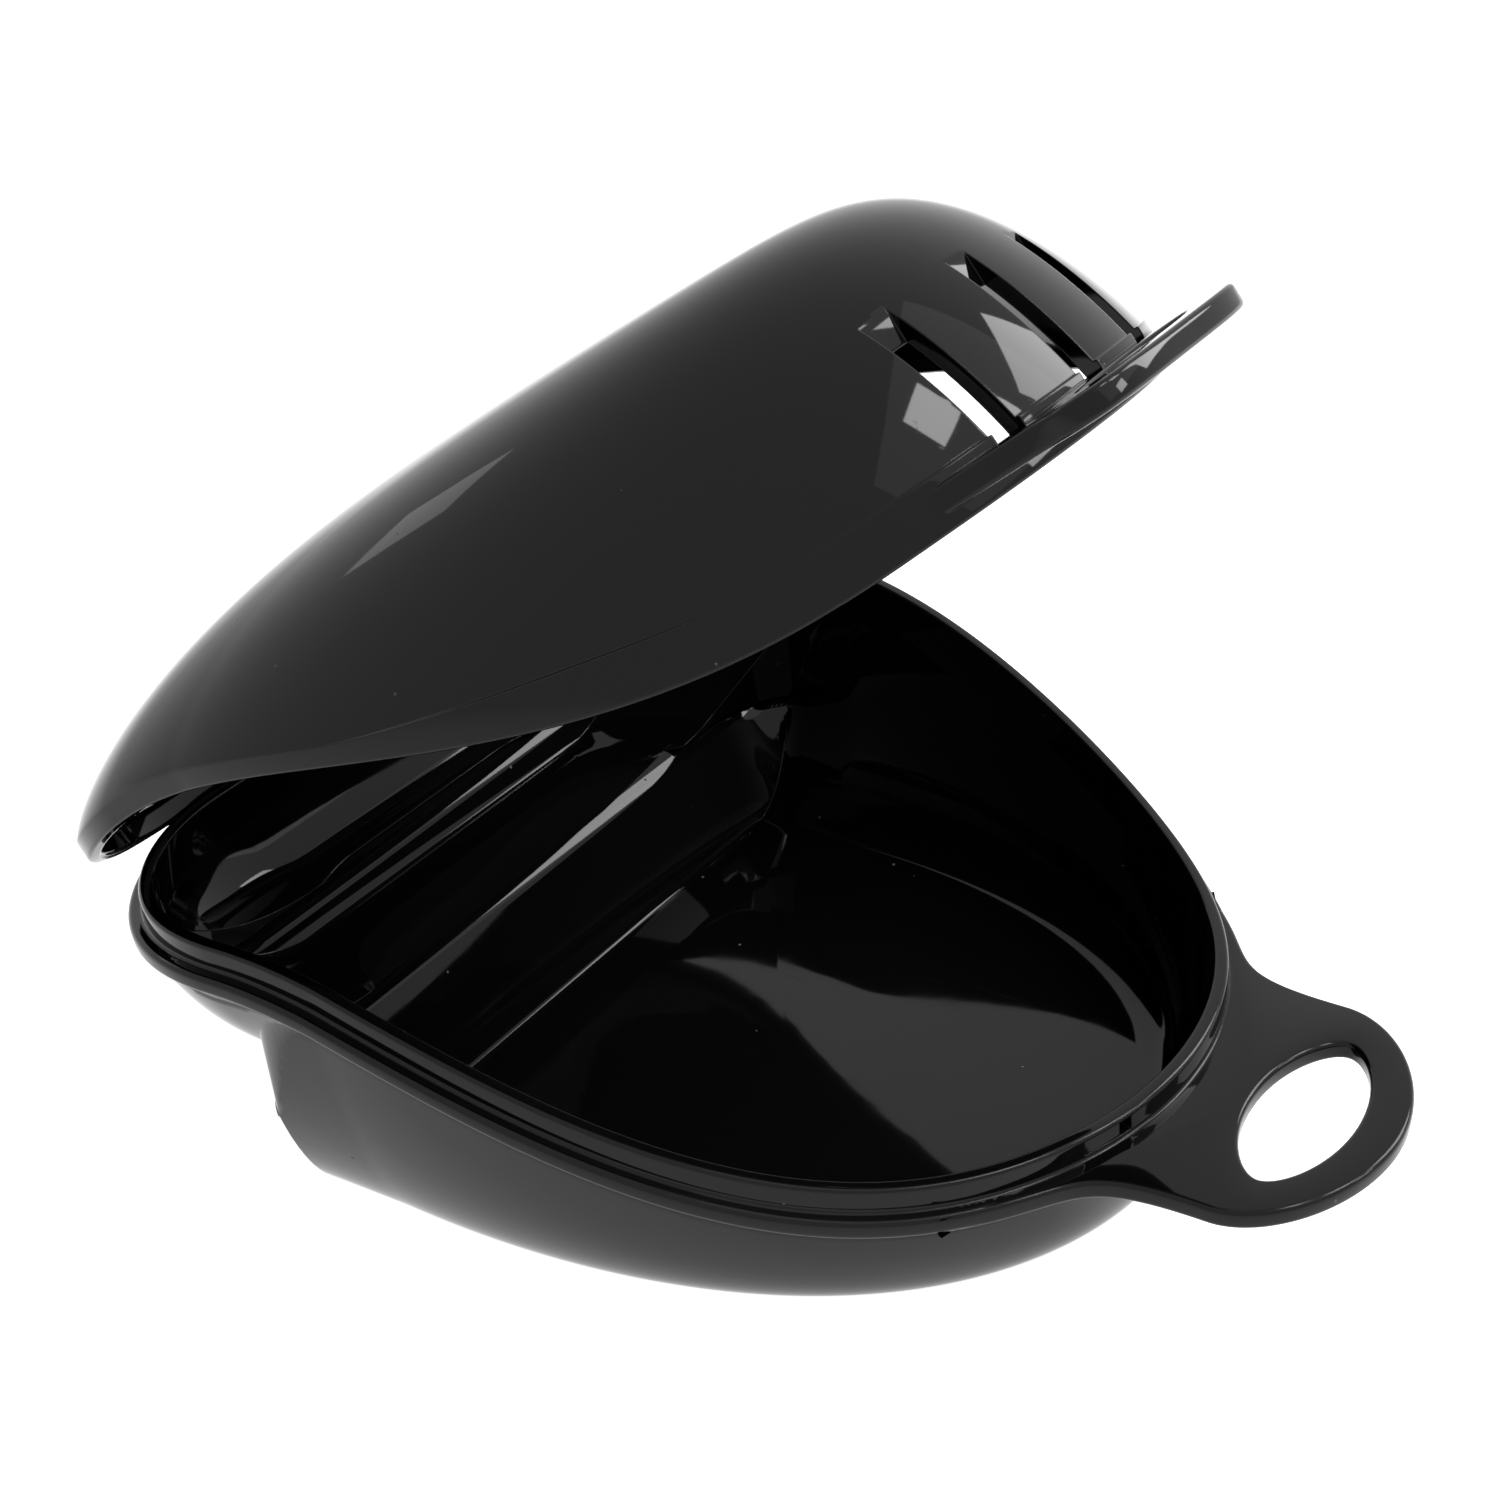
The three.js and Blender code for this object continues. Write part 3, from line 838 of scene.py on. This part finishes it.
            parts.append((Cut.JOIN, self.latch.block(
                rim, side, hinge.play, self.out - self.wall / 2, low + hinge.play,
                low + self.latch.window - hinge.play / 2, self.latch.width - 2 * hinge.play, "bump")))
        return combine(shell, parts)


# Finishes


def linear(code: str) -> tuple[float, float, float, float]:
    """Turns an sRGB hex colour into linear RGBA: v/12.92 near black, else ((v+0.055)/1.055)^2.4."""
    values = (int(code[i:i + 2], 16) / 255 for i in (1, 3, 5))
    return (*(v / 12.92 if v <= 0.04045 else ((v + 0.055) / 1.055) ** 2.4 for v in values), 1.0)


def add(tree: bpy.types.NodeTree, kind: str,
        links: dict[str | int, bpy.types.NodeSocket] | None = None,
        values: dict[str | int, object] | None = None, **settings: object) -> bpy.types.Node:
    """Adds a node with its settings, socket values and incoming links.

    Args:
        tree: the node tree.
        kind: node type.
        links: input socket by name or place, to the output that feeds it.
        values: input socket by name or place, to its constant.
        settings: properties of the node.

    Returns:
        The node.
    """
    node = tree.nodes.new(kind)
    for key, value in settings.items():
        setattr(node, key, value)
    for key, value in (values or {}).items():
        node.inputs[key].default_value = value
    for key, source in (links or {}).items():
        tree.links.new(source, node.inputs[key])
    return node


def scale_of(size_mm: float) -> float:
    """Texture scale on Object coordinates, in metres, for a feature of this size."""
    return 1.0 / (size_mm * MM)


@dataclass(frozen=True)
class MouldedGloss:
    """Gloss black ABS from a polished mould: deep black, clear reflections and a faint orange
    peel, with handling smudges that dull the shine and a few pale dust specks.

    The specular level is a fit to one picture on a white ground. At 0.5 the index acts in full.
    """

    name: str
    colour: str = "#0d0d0e"
    dust: str = "#9a9a98"
    roughness: float = 0.035
    smudge: float = 0.06
    ior: float = 1.54
    specular_level: float = 0.2
    smudge_mm: float = 14.0
    smudge_from: float = 0.48
    smudge_to: float = 0.78
    peel_mm: float = 5.0
    peel: float = 0.02
    peel_height_mm: float = 0.6
    speck_mm: float = 3.4
    speck_share: float = 0.030
    speck_pick: float = 0.62
    speck_bump: float = 0.35
    speck_height_mm: float = 0.1
    scratch_mm: float = 0.45
    crest_from: float = 0.70
    crest_to: float = 0.80
    crest_roughness: float = 0.10
    edge_mm: float = 0.16

    def build(self) -> bpy.types.Material:
        """Makes the material: colour, roughness and bump read Object coordinates.

        Returns:
            The material.
        """
        material = bpy.data.materials.new(self.name)
        material.use_nodes = True
        tree = material.node_tree
        tree.nodes.clear()
        place = add(tree, "ShaderNodeTexCoord").outputs["Object"]

        # Dust: round specks in scattered cells, drawn coarser than real dust so that they show.
        cells = add(tree, "ShaderNodeTexVoronoi", {"Vector": place},
                    {"Scale": scale_of(self.speck_mm), "Randomness": 1.0})
        round_spot = add(tree, "ShaderNodeMapRange", {"Value": cells.outputs["Distance"]},
                         {"From Min": self.speck_share * 1.6, "From Max": self.speck_share * 0.5})
        pick = add(tree, "ShaderNodeSeparateColor", {"Color": cells.outputs["Color"]})
        some = add(tree, "ShaderNodeMath", {0: pick.outputs["Red"]}, {1: self.speck_pick},
                   operation="GREATER_THAN")
        speck = add(tree, "ShaderNodeMath", {0: round_spot.outputs["Result"], 1: some.outputs[0]},
                    operation="MULTIPLY").outputs[0]

        # Smudges: broad soft noise that raises the roughness where fingers have been.
        haze = add(tree, "ShaderNodeTexNoise", {"Vector": place},
                   {"Scale": scale_of(self.smudge_mm), "Detail": 5.0, "Roughness": 0.6})
        smudged = add(tree, "ShaderNodeMapRange", {"Value": haze.outputs["Fac"]},
                      {"From Min": self.smudge_from, "From Max": self.smudge_to,
                       "To Min": self.roughness, "To Max": self.roughness + self.smudge})
        dulled = add(tree, "ShaderNodeMath", {0: speck, 1: smudged.outputs["Result"]}, {2: 0.0},
                     operation="MAXIMUM")

        # Fine hairline scuffs: noise drawn out along y, with only its crests kept.
        stretched = add(tree, "ShaderNodeMapping", {"Vector": place},
                        {"Scale": (1.0, 0.05, 1.0), "Rotation": (0.0, 0.0, 0.5)})
        hair = add(tree, "ShaderNodeTexNoise", {"Vector": stretched.outputs["Vector"]},
                   {"Scale": scale_of(self.scratch_mm), "Detail": 2.0})
        crest = add(tree, "ShaderNodeMapRange", {"Value": hair.outputs["Fac"]},
                    {"From Min": self.crest_from, "From Max": self.crest_to,
                     "To Max": self.crest_roughness})
        rough = add(tree, "ShaderNodeMath", {0: dulled.outputs[0], 1: crest.outputs["Result"]},
                    operation="ADD", use_clamp=True)

        tint = add(tree, "ShaderNodeMix", {"Factor": speck}, data_type="RGBA")
        tint.inputs["A"].default_value = linear(self.colour)
        tint.inputs["B"].default_value = linear(self.dust)

        # Edges are radiused by the mould; the peel is a ripple a few millimetres across.
        soft_edge = add(tree, "ShaderNodeBevel", values={"Radius": self.edge_mm * MM}, samples=6)
        ripple = add(tree, "ShaderNodeTexNoise", {"Vector": place},
                     {"Scale": scale_of(self.peel_mm), "Detail": 1.0})
        bump = add(tree, "ShaderNodeBump",
                   {"Height": ripple.outputs["Fac"], "Normal": soft_edge.outputs["Normal"]},
                   {"Strength": self.peel, "Distance": self.peel_height_mm * MM})
        raised = add(tree, "ShaderNodeBump", {"Height": speck, "Normal": bump.outputs["Normal"]},
                     {"Strength": self.speck_bump, "Distance": self.speck_height_mm * MM})
        shader = add(tree, "ShaderNodeBsdfPrincipled",
                     {"Base Color": tint.outputs["Result"], "Roughness": rough.outputs[0],
                      "Normal": raised.outputs["Normal"]},
                     {"IOR": self.ior, "Specular IOR Level": self.specular_level})
        add(tree, "ShaderNodeOutputMaterial", {"Surface": shader.outputs["BSDF"]})
        return material


@dataclass(frozen=True)
class DrawnSteel:
    """Drawn stainless wire: bright, with fine lines along its length."""

    name: str = "drawn_steel"
    colour: str = "#b8b9ba"
    roughness: float = 0.3
    line_mm: float = 0.2

    def build(self) -> bpy.types.Material:
        """Makes the material, its lines drawn out along x.

        Returns:
            The material.
        """
        material = bpy.data.materials.new(self.name)
        material.use_nodes = True
        tree = material.node_tree
        tree.nodes.clear()
        place = add(tree, "ShaderNodeTexCoord").outputs["Object"]
        drawn = add(tree, "ShaderNodeMapping", {"Vector": place}, {"Scale": (0.03, 1.0, 1.0)})
        lines = add(tree, "ShaderNodeTexNoise", {"Vector": drawn.outputs["Vector"]},
                    {"Scale": scale_of(self.line_mm), "Detail": 3.0})
        rough = add(tree, "ShaderNodeMapRange", {"Value": lines.outputs["Fac"]},
                    {"To Min": self.roughness - 0.12, "To Max": self.roughness + 0.12})
        bump = add(tree, "ShaderNodeBump", {"Height": lines.outputs["Fac"]},
                   {"Strength": 0.2, "Distance": 0.00003})
        shader = add(tree, "ShaderNodeBsdfPrincipled",
                     {"Roughness": rough.outputs["Result"], "Normal": bump.outputs["Normal"]},
                     {"Base Color": linear(self.colour), "Metallic": 1.0})
        add(tree, "ShaderNodeOutputMaterial", {"Surface": shader.outputs["BSDF"]})
        return material


# Studio


@dataclass(frozen=True)
class Panel:
    """Soft light seen from the object at an azimuth (0 towards -y, 90 towards +x) and elevation."""

    name: str
    azimuth: float
    elevation: float
    width: float
    height: float
    radiance: float
    distance: float = 0.9

    def build(self, centre: Vector) -> None:
        """Makes the lamp: its power gives the stated radiance over its face.

        Args:
            centre: the point that it faces.
        """
        lamp = bpy.data.lights.new(self.name, "AREA")
        lamp.shape = "RECTANGLE"
        lamp.size = 2 * self.distance * math.tan(math.radians(self.width / 2))
        lamp.size_y = 2 * self.distance * math.tan(math.radians(self.height / 2))
        lamp.energy = self.radiance * lamp.size * lamp.size_y * WATTS_PER_RADIANCE
        a, e = math.radians(self.azimuth), math.radians(self.elevation)
        way = Vector((math.sin(a) * math.cos(e), -math.cos(a) * math.cos(e), math.sin(e)))
        thing = bpy.data.objects.new(self.name, lamp)
        thing.location = centre + way * self.distance
        thing.rotation_mode = "QUATERNION"
        thing.rotation_quaternion = way.to_track_quat("Z", "Y")
        bpy.context.scene.collection.objects.link(thing)


@dataclass(frozen=True)
class Studio:
    """White floor and surround, with soft panels where the photographed gloss shows them."""

    room: float = 0.037
    horizon: float = 0.367
    horizon_top: float = 0.45
    floor_grey: float = 0.34
    floor_white: float = 0.85
    glow: float = 1.0
    floor_half: float = 3.0
    panels: tuple[Panel, ...] = (
        Panel("key_upper", 17.0, 63.0, 10.0, 9.0, 11.0),
        Panel("key_lower", 33.0, 49.0, 11.0, 11.0, 11.0),
        Panel("key_low", 27.0, 30.0, 10.0, 7.0, 9.0),
        Panel("window", 26.0, 50.0, 50.0, 44.0, 0.45, 1.2),
        Panel("side_strip", 60.0, 34.0, 18.0, 26.0, 7.5),
        Panel("rear_panel", 176.0, 30.0, 9.0, 9.0, 1.2),
    )

    def shown(self, tree: bpy.types.NodeTree) -> bpy.types.NodeSocket:
        """Whether a ray sees the white background: from the camera, in gloss and through glass.

        Args:
            tree: the node tree that mixes the background in.

        Returns:
            Camera + glossy + transmission, clamped to 1.
        """
        path = add(tree, "ShaderNodeLightPath")
        bent = add(tree, "ShaderNodeMath",
                   {0: path.outputs["Is Glossy Ray"], 1: path.outputs["Is Transmission Ray"]},
                   operation="ADD")
        return add(tree, "ShaderNodeMath", {0: path.outputs["Is Camera Ray"], 1: bent.outputs[0]},
                   operation="ADD", use_clamp=True).outputs[0]

    def floor(self) -> None:
        """White floor for the camera, gloss and glass, and a mid grey one for diffuse light.

        The pale part holds the object's shadow, but a glow of 1 is white by itself and clips it.
        """
        material = bpy.data.materials.new("pale_floor")
        material.use_nodes = True
        tree = material.node_tree
        tree.nodes.clear()
        grey = add(tree, "ShaderNodeBsdfDiffuse", values={"Color": (self.floor_grey,) * 3 + (1.0,)})
        pale = add(tree, "ShaderNodeBsdfDiffuse", values={"Color": (self.floor_white,) * 3 + (1.0,)})
        glow = add(tree, "ShaderNodeEmission", values={"Strength": self.glow})
        white = add(tree, "ShaderNodeAddShader", {0: pale.outputs[0], 1: glow.outputs[0]})
        mix = add(tree, "ShaderNodeMixShader",
                  {0: self.shown(tree), 1: grey.outputs[0], 2: white.outputs[0]})
        add(tree, "ShaderNodeOutputMaterial", {"Surface": mix.outputs[0]})
        mesh = bpy.data.meshes.new("floor")
        half = self.floor_half
        corners = [(-half, -half, 0), (half, -half, 0), (half, half, 0), (-half, half, 0)]
        mesh.from_pydata(corners, [], [(0, 1, 2, 3)])
        mesh.materials.append(material)
        plane = bpy.data.objects.new("floor", mesh)
        bpy.context.scene.collection.objects.link(plane)

    def world(self) -> None:
        """White for the camera, gloss and glass. For diffuse light, a dim room that pales towards
        the horizon."""
        world = bpy.data.worlds.new("studio")
        bpy.context.scene.world = world
        world.use_nodes = True
        tree = world.node_tree
        tree.nodes.clear()
        place = add(tree, "ShaderNodeTexCoord").outputs["Generated"]
        way = add(tree, "ShaderNodeSeparateXYZ", {0: place})
        grey = add(tree, "ShaderNodeMapRange", {"Value": way.outputs["Z"]},
                   {"From Min": 0.0, "From Max": self.horizon_top,
                    "To Min": self.horizon, "To Max": self.room},
                   interpolation_type="SMOOTHSTEP")
        room = add(tree, "ShaderNodeBackground", {"Strength": grey.outputs["Result"]})
        white = add(tree, "ShaderNodeBackground",
                    values={"Color": (1.0, 1.0, 1.0, 1.0), "Strength": 1.0})
        mix = add(tree, "ShaderNodeMixShader",
                  {0: self.shown(tree), 1: room.outputs[0], 2: white.outputs[0]})
        add(tree, "ShaderNodeOutputWorld", {"Surface": mix.outputs[0]})

    def build(self, centre: Vector) -> None:
        """Makes the floor, the world and the lamps."""
        self.floor()
        self.world()
        for panel in self.panels:
            panel.build(centre)


@dataclass(frozen=True)
class Viewpoint:
    """Camera fitted to the photographed outlines, for a square picture."""

    azimuth: float = -53.6293
    elevation: float = 29.6277
    roll: float = -5.3435
    distance: float = 202.3891
    target: tuple[float, float, float] = (18.3137, 19.5881, 16.0)
    lens: float = 54.5486
    sensor: float = 36.0

    def build(self) -> None:
        """Makes the camera: it looks back along its azimuth and elevation, then rolls."""
        a, e, r = (math.radians(v) for v in (self.azimuth, self.elevation, self.roll))
        back = Vector((math.sin(a) * math.cos(e), -math.cos(a) * math.cos(e), math.sin(e)))
        right = Vector((math.cos(a), math.sin(a), 0.0))
        up = back.cross(right)
        across = right * math.cos(r) + up * math.sin(r)
        upright = up * math.cos(r) - right * math.sin(r)
        camera = bpy.data.cameras.new("camera")
        camera.lens, camera.sensor_width = self.lens, self.sensor
        camera.clip_start, camera.clip_end = 0.01, 20.0
        thing = bpy.data.objects.new("camera", camera)
        where = (Vector(self.target) + back * self.distance) * MM
        turn = Matrix((across, upright, back)).transposed().to_4x4()
        thing.matrix_world = Matrix.Translation(where) @ turn
        bpy.context.scene.collection.objects.link(thing)
        bpy.context.scene.camera = thing


def finish_piece(piece: bpy.types.Object, node: str, body: str,
                 material: bpy.types.Material) -> None:
    """Smooths a piece, dresses it, and puts it in the place of its CAD node.

    Args:
        piece: the object, already placed.
        node: the CAD node that it stands for.
        body: the body that it rides on.
        material: its finish.
    """
    polish(piece)
    piece.data.materials.clear()
    piece.data.materials.append(material)
    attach(piece, body)
    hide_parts(node)
    log.info("%s: %d faces on %s", piece.name, len(piece.data.polygons), body)


def main() -> None:
    """Builds the case, its finishes, the studio and the camera."""
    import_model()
    rim, hinge, latch, placing = Rim(), Hinge(), Latch(), Placing()
    axis = (hinge.back, hinge.height(rim))

    tray = TrayShell(rim, hinge, latch).build()
    placing.place(tray)
    finish_piece(tray, "base_tray", "tray",
                 MouldedGloss("gloss_black_abs_tray").build())

    lid = LidShell(rim, hinge, latch).build()
    placing.place(lid, axis, hinge.opening)
    finish_piece(lid, "lid", "lid",
                 MouldedGloss("gloss_black_abs_lid", speck_share=0.022, smudge=0.05).build())

    pin = rod("steel_pin", hinge.pin, -hinge.tray_to, hinge.tray_to, *axis, hinge.pin_edge,
              PIN_PLACES)
    placing.place(pin)
    finish_piece(pin, "hinge_pin", "tray", DrawnSteel().build())

    Viewpoint().build()
    Studio().build(Vector(STUDIO_CENTRE))
    bpy.context.scene.view_settings.view_transform = "Standard"


if __name__ == "__main__":
    logging.basicConfig(level=logging.INFO, format="%(name)s: %(message)s")
    main()
